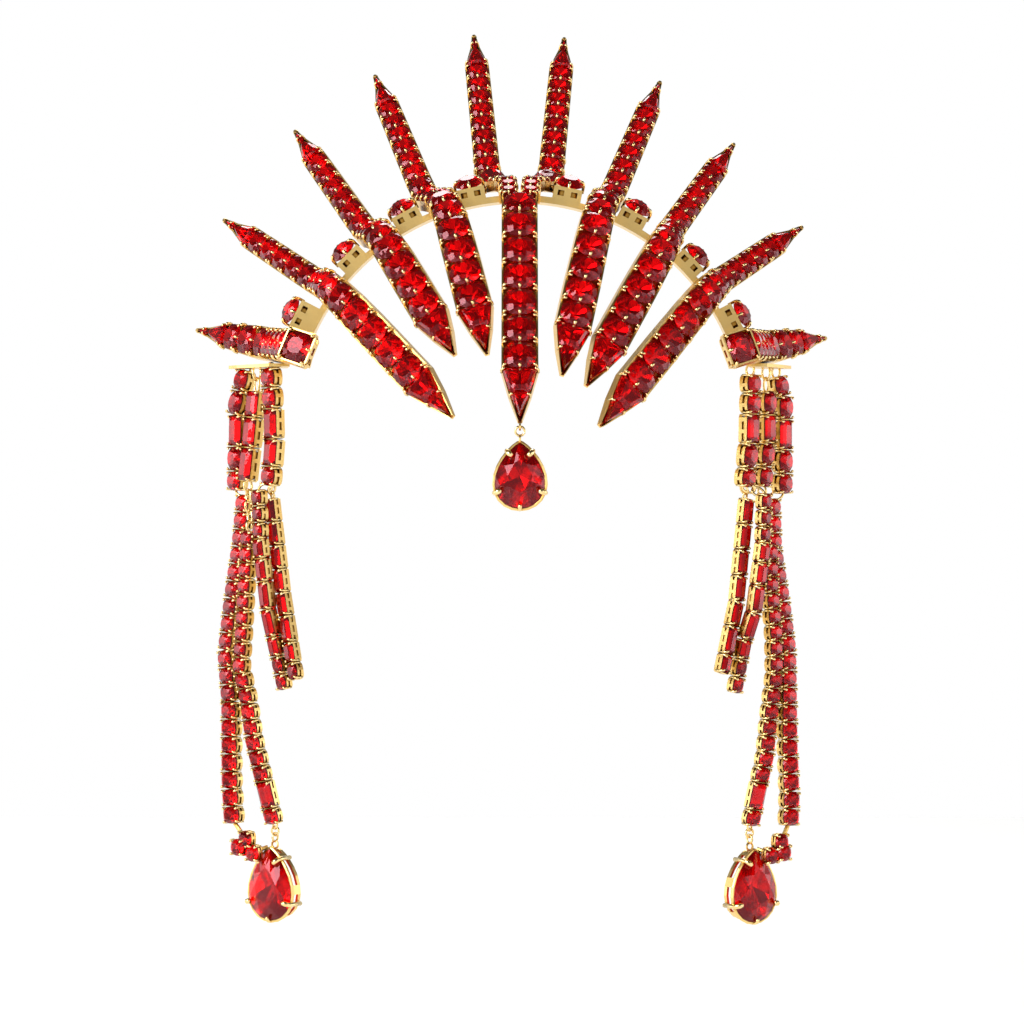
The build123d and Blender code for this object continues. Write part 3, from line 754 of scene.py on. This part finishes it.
# %% Hanging settings
LONG_STONE = 1.3
STRANDS = {
    "tassel_inner": 3.6, "tassel_middle": 3.6, "tassel_outer": 3.6,
    "tail_front": 3.0, "tail_back": 3.0,
    "chain_outer": 3.4, "chain_inner": 3.0,
}
SEAT_DROP = 0.35
BOX_GROW = (-0.02, 0.26)
BOX_WALL = 0.4
WINDOW_TOP = 0.4
WINDOW_LOW = 0.66
TREFOIL_BOXES = 2
LINER_SHARE = 0.84
LINK_BACK = 0.5
LINK_OVERLAP = 0.9
LINK_BAR = (0.8, 0.85, 0.8)


def setting(seat, depth, fullness=2.8):
    """The stone and the gold of one box setting."""
    wide, long = seat.half_width + BOX_GROW[0], seat.half_length + BOX_GROW[1]
    if long > LONG_STONE * wide:
        outline = baguette(wide, long)
        gem = step_cut(baguette(wide, long - 0.12), 1.4, depth * 0.6, bevel=0.42)
        steps, keep = 24, 3
    else:
        outline = rounded(wide, long, 16, 3.2)
        gem = brilliant(rounded(wide + 0.1, long - 0.05, 16, fullness), wide * 0.52, depth * 0.62)
        steps, keep = 20, 5
    wall = evenly(outline, steps)
    top, low = -depth * WINDOW_TOP, -depth * WINDOW_LOW
    gold = [band(wall, -SEAT_DROP, top, BOX_WALL), band(wall, low, -depth, BOX_WALL)]
    gold += posts(wall, top, low, BOX_WALL, range(0, steps, keep))
    gold.append(band(wall * LINER_SHARE, -depth * 0.3, -depth * 0.8, 0.25))
    claws = []
    for x in (-1, 1):
        for y in (-1, 1):
            lean = (-x * 0.7, -y * 0.45)
            claws.append(claw(x * (wide - 0.1), y * (long - 0.42), lean, 0.95, root=-depth * 0.6))
    return gem, gold, claws


def strand(name, hand, depth):
    """All settings of one strand, as its stones, its walls and its claws."""
    seats = boxes_of(name, hand)
    if name.startswith("chain_outer"):
        seats = seats[:-TREFOIL_BOXES]
    gems, walls, claws = [], [], []
    for number, seat in enumerate(seats):
        gem, gold, tips = setting(seat, depth)
        base = seat.middle - seat.out * SEAT_DROP
        sunk = Seat(base, seat.along, seat.out, seat.half_width, seat.half_length)
        gems.append(sunk.place(gem))
        walls += [seat.place(shape) for shape in gold]
        claws += [sunk.place(shape) for shape in tips]
        if number:
            above = seats[number - 1]
            behind = depth * LINK_BACK
            top = above.middle - above.out * behind - above.along * (above.half_length - LINK_OVERLAP)
            low = seat.middle - seat.out * behind + seat.along * (seat.half_length - LINK_OVERLAP)
            walls.append(rod([top, (top + low) / 2, low], LINK_BAR, sides=8))
    return seats, gems, walls, claws


strand_seats = {}
for side, hand in (("left", -1), ("right", 1)):
    for part, depth in STRANDS.items():
        name = f"{part}_{side}"
        seats, gems, walls, claws = strand(name, hand, depth)
        strand_seats[name] = seats
        stones = piece(f"{name}_gems", gems, [ruby_glass, ruby_foil_and_glow], "tiara")
        settings = piece(f"{name}_settings", walls, [satin_gold_painted_shade], "tiara")
        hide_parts(name)
        piece(f"{name}_claws", claws, [burnished_gold], "tiara", smooth=True)
        print(name, len(seats), "settings")

# %% [markdown]
# ## Links
#
# Jump rings join the strands: each short strand hangs from the bar under its temple point, and the tails
# and chains hang from the ends of the short strands. Three round stones finish each outer chain where it
# meets the pear.

# %% Rings that join the strands, and the trefoils
LINK_WIRE = 0.4
LINK_HALF_LENGTH = 1.2
LINK_HALF_WIDTH = 1.4
RING_PITCH = 3.2
RING_TURN = 0.6
RING_STEPS = 20
END_BACK = 1.8
HANGER_LEVEL = -51.7
JOINED = (("tassel_inner", "tail_front"), ("tassel_inner", "tail_back"), ("tassel_outer", "chain_outer"),
          ("tassel_middle", "chain_inner"))
TREFOILS = {
    "left": ((-86.3, -2.6, -200.3), (-88.8, -2.2, -202.9), (-84.1, -3.4, -204.6)),
    "right": ((82.5, -2.6, -201.2), (83.4, -2.4, -204.6), (79.4, -3.4, -205.4)),
}
TREFOIL_STONE = 2.45
TREFOIL_DEPTH = 2.6
TREFOIL_BACK = (0, 2.2, 0)
TREFOIL_BAR = (0.7, 0.75, 0.7)
PEAR_JOINT = (2.6, 8.0)
LOWER_TURN = radians(33)


def rings_between(top, low, turn):
    """Jump rings that span from one point to another, every second one across the first."""
    top, low = np.asarray(top), np.asarray(low)
    up, distance = unit(top - low), np.linalg.norm(top - low)
    count = max(1, round(distance / RING_PITCH))
    made = []
    for number in range(count):
        middle = top + (low - top) * (number + 0.5) / count
        reach = max(distance / count / 2 + LINK_WIRE, LINK_HALF_LENGTH)
        width = min(reach, LINK_HALF_WIDTH)
        here = turn + number * pi / 2
        across = unit(np.cross(up, (sin(here), cos(here), 0)))
        turns = [2 * pi * step / RING_STEPS for step in range(RING_STEPS)]
        path = [middle + up * (reach * cos(angle)) + across * (width * sin(angle)) for angle in turns]
        made.append(rod(path, [LINK_WIRE] * RING_STEPS, closed=True))
    return made


def middle_of(name):
    """The middle of a CAD node."""
    return np.mean([corner.co for corner in nodes[name].data.vertices], axis=0) / MM


def end_of(name, number, way):
    """A point behind the upper (1) or lower (-1) edge of a strand's numbered seat."""
    seat = strand_seats[name][number]
    return seat.middle - seat.out * END_BACK + seat.along * way * seat.half_length


for side, hand in (("left", -1), ("right", 1)):
    rings = []
    for part in ("tassel_inner", "tassel_middle", "tassel_outer"):
        low = end_of(f"{part}_{side}", 0, 1)
        rings += rings_between((low[0], low[1], HANGER_LEVEL), low, hand * RING_TURN)
    for upper, lower in JOINED:
        top, low = end_of(f"{upper}_{side}", -1, -1), end_of(f"{lower}_{side}", 0, 1)
        rings += rings_between(top, low, hand * RING_TURN)
    low = middle_of(f"ring_upper_{side}") + (0, 0, LINK_HALF_LENGTH)
    rings += rings_between(end_of(f"chain_inner_{side}", -1, -1), low, hand * LOWER_TURN + pi / 2)
    piece(f"strand_rings_{side}", rings, [burnished_gold], "tiara", smooth=True)
    gems, walls, claws = [], [], []
    for middle in TREFOILS[side]:
        out = (hand * sin(LOWER_TURN), -cos(LOWER_TURN), 0)
        seat = Seat(middle, (0, 0, 1), out, TREFOIL_STONE, TREFOIL_STONE)
        gem, gold, tips = setting(seat, TREFOIL_DEPTH, fullness=2.1)
        gems.append(seat.place(gem))
        walls += [seat.place(shape) for shape in gold]
        claws += [seat.place(shape) for shape in tips]
    first, _, last = [np.array(middle) + TREFOIL_BACK for middle in TREFOILS[side]]
    above = end_of(f"chain_outer_{side}", -1, -1)
    pear = middle_of(f"pear_setting_{side}") + (hand * PEAR_JOINT[0], 0, PEAR_JOINT[1])
    for start, end in ((above, first), (last, pear)):
        walls.append(rod([start, (start + end) / 2, end], TREFOIL_BAR, sides=8))
    piece(f"trefoil_gems_{side}", gems, [ruby_glass, ruby_foil_and_glow], "tiara")
    piece(f"trefoil_settings_{side}", walls, [satin_gold_painted_shade], "tiara")
    piece(f"trefoil_claws_{side}", claws, [burnished_gold], "tiara", smooth=True)
    print(side, len(rings), "rings and", len(gems), "stones in the trefoil")

# %% [markdown]
# ## Pear drops
#
# A pear stone is a brilliant cut on a pear outline. Its open gallery has a top wire, a bottom rail and
# uprights between them, and four claws come over the edge, with a fifth at the lower end. In the table
# each drop has its CAD stone and setting, its body, and the depth of its gallery.

# %% Pear stones in their galleries
PEAR_SHARPNESS = 0.6
PEAR_FULLNESS = 1.29
PEARS = {
    "drop": ("drop_stone", "drop_setting", "drop", 4.4),
    "pear_left": ("pear_stone_left", "pear_setting_left", "tiara", 5.4),
    "pear_right": ("pear_stone_right", "pear_setting_right", "tiara", 5.4),
}
CLAW_STEPS = (3, 8, 16, 21)
PEAR_CLEARANCE = 0.15
TOP_WIRE = 0.6
TOP_WIRE_LEVEL = -0.5
LOOP_CENTRE = 0.9
LOOP_RADIUS = 1.15
LOOP_WIRE = 0.35
LOOP_LEVEL = 0.3
LOOP_STEPS = 20


def pear_outline(half_width, half_length, steps=24):
    """Outline of a pear with its point up, counter-clockwise from the point."""
    turns = [-2 * pi * step / steps for step in range(steps)]
    return np.array([(half_width * PEAR_FULLNESS * sin(turn) * abs(sin(turn / 2)) ** PEAR_SHARPNESS,
                      half_length * cos(turn)) for turn in turns])


for name, (stone, holder, body, depth) in PEARS.items():
    seat = seats_of(stone, along=(0, 0, 1))[0]
    low, high = seat.girdle[:, 1].min(), seat.girdle[:, 1].max()
    seat.middle = seat.middle + seat.along * (low + high) / 2
    wide, long = seat.half_width, (high - low) / 2
    gem = brilliant(pear_outline(wide, long, 16), 2.6, wide * 0.62, table_share=0.5)
    stones = piece(f"{name}_gem", [seat.place(gem)], [ruby_glass, ruby_foil_and_glow], body)
    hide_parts(stone)
    edge = pear_outline(wide + PEAR_CLEARANCE, long + PEAR_CLEARANCE)
    flat = [(x, y, TOP_WIRE_LEVEL) for x, y in edge]
    shapes = [rod(flat, [TOP_WIRE] * len(flat), closed=True)]
    shapes.append(band(edge * 0.96, -depth * 0.74, -depth, 0.8))
    shapes += posts(edge * 0.98, TOP_WIRE_LEVEL, -depth * 0.78, 0.6, range(1, 24, 4))
    top = edge[0][1] + LOOP_CENTRE
    turns = [2 * pi * step / LOOP_STEPS for step in range(LOOP_STEPS)]
    loop = [(0.0, top + LOOP_RADIUS * cos(turn), LOOP_RADIUS * sin(turn) - LOOP_LEVEL) for turn in turns]
    if name != "drop":
        loop = [(z + LOOP_LEVEL, y, -depth / 2) for _, y, z in loop]
    shapes.append(rod(loop, [LOOP_WIRE] * LOOP_STEPS, closed=True))
    gallery = piece(f"{name}_gallery", [seat.place(shape) for shape in shapes], [satin_gold_painted_shade], body)
    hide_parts(holder)
    claws = []
    for number in CLAW_STEPS:
        x, y = edge[number]
        lean = unit((-x, -y * 0.5))
        foot = (x, y) - lean * 0.4
        claws.append(seat.place(claw(*foot, lean, 2.1, root=-depth * 0.9)))
    claws.append(seat.place(claw(0, -long - 0.3, (0, 1), 1.5, root=-depth * 0.8)))
    piece(f"{name}_claws", claws, [burnished_gold], body, smooth=True)
    print(name, "stone", round(2 * wide, 1), "by", round(2 * long, 1), "mm, on body", body)

# %% [markdown]
# ## Jump rings
#
# Round wire closed on itself. The CAD links have straight sides, so each is drawn again about its middle.

# %% Rings over the drops
JUMP_WIRE = 0.36
JUMP_INSET = 0.42
JUMP_STEPS = 24

for name, body in (("drop_ring", "drop_ring"), ("ring_upper_left", "tiara"), ("ring_lower_left", "tiara"),
                   ("ring_upper_right", "tiara"), ("ring_lower_right", "tiara")):
    corners = np.array([corner.co for corner in nodes[name].data.vertices]) / MM
    middle = corners.mean(axis=0)
    spread = np.linalg.svd(corners - middle, full_matrices=False)[2]
    across, up = spread[0], spread[1]
    outer = np.linalg.norm(corners - middle, axis=1).max()
    turns = [2 * pi * step / JUMP_STEPS for step in range(JUMP_STEPS)]
    path = [middle + (across * cos(turn) + up * sin(turn)) * (outer - JUMP_INSET) for turn in turns]
    wire = rod(path, [JUMP_WIRE] * JUMP_STEPS, sides=10, closed=True)
    made = piece(f"{name}_wire", [wire], [burnished_gold], body, smooth=True)
    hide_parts(name)
    print(name, "radius", round(outer, 2), "mm")

# %% [markdown]
# ## Materials of the CAD nodes that stay
#
# The channels and the headband keep their CAD shapes and take the satin plate. The CAD stones have all been
# replaced and aren't seen, and take the glass all the same.

# %% Gold for the frame
for name, holder in nodes.items():
    metal = "stone" not in name
    holder.data.materials.clear()
    holder.data.materials.append(satin_gold_painted_shade if metal else ruby_glass)
print("materials set on", len(nodes), "nodes")

# %% [markdown]
# ## Studio
#
# White paper lies below. The key light is a large soft box above on the left, with a weak fill on the
# right, a light behind and a small one at each side. The surroundings are white behind the piece and near
# the level of the eye. They are darker above and on the camera's side, because a cut stone needs something
# dark to show: in an even white room every facet has the same tone.

# %% Floor, lights and surroundings
WHITE = (1, 1, 1, 1)
FLOOR_HALF = 0.9
FLOOR_DROP = 0.045

level = cad_box[0][2] - FLOOR_DROP
corners = [(FLOOR_HALF * x, FLOOR_HALF * y, level) for x, y in ((-1, -1), (1, -1), (1, 1), (-1, 1))]
floor_mesh = bpy.data.meshes.new("floor")
floor_mesh.from_pydata(corners, [], [(0, 1, 2, 3)])
floor = bpy.data.objects.new("floor", floor_mesh)
bpy.context.scene.collection.objects.link(floor)
floor.data.materials.append(surface("white_paper", {
    "Base Color": colour("#F4F4F2"),
    "Roughness": 0.9,
    "Emission Color": WHITE,
    "Emission Strength": 0.4,
}))


def softbox(name, place, size, power):
    """A square light that faces the piece."""
    light = bpy.data.lights.new(name, "AREA")
    light.energy = power
    light.size = size
    lamp = bpy.data.objects.new(name, light)
    bpy.context.scene.collection.objects.link(lamp)
    lamp.location = place
    lamp.rotation_euler = (HEART - Vector(place)).to_track_quat("-Z", "Y").to_euler()


HEART = Vector((0, 0, -0.08))
softbox("key", (-1.05, -0.93, 0.46), 0.9, 24)
softbox("fill", (1.1, -0.9, 0.2), 0.9, 3)
softbox("back", (0, 1.3, 1.1), 0.8, 9)
softbox("left", (-1.5, 0.25, -0.1), 0.8, 3.5)
softbox("right", (1.5, 0.25, -0.1), 0.8, 3.5)

world = bpy.data.worlds.new("studio")
bpy.context.scene.world = world
world.use_nodes = True
sky = world.node_tree
sky.nodes.clear()
direction = node(sky, "ShaderNodeTexCoord")
split = node(sky, "ShaderNodeSeparateXYZ", links={"Vector": direction.outputs["Generated"]})
up = node(sky, "ShaderNodeMapRange", {"From Min": 0.2, "From Max": 0.45, "To Min": 1.0, "To Max": 0.1},
          {"Value": split.outputs["Z"]})
back = node(sky, "ShaderNodeMapRange", {"From Min": -0.6, "From Max": 0.3, "To Min": 0.6, "To Max": 1.0},
            {"Value": split.outputs["Y"]})
both = node(sky, "ShaderNodeMath", {"operation": "MULTIPLY"})
sky.links.new(both.inputs[0], up.outputs["Result"])
sky.links.new(both.inputs[1], back.outputs["Result"])
glow = node(sky, "ShaderNodeBackground", {"Color": WHITE}, {"Strength": both.outputs["Value"]})
node(sky, "ShaderNodeOutputWorld", links={"Surface": glow.outputs[0]})

bpy.context.scene.view_settings.view_transform = "Standard"
print("floor at", round(level, 3), "m, lights", len(bpy.data.lights))
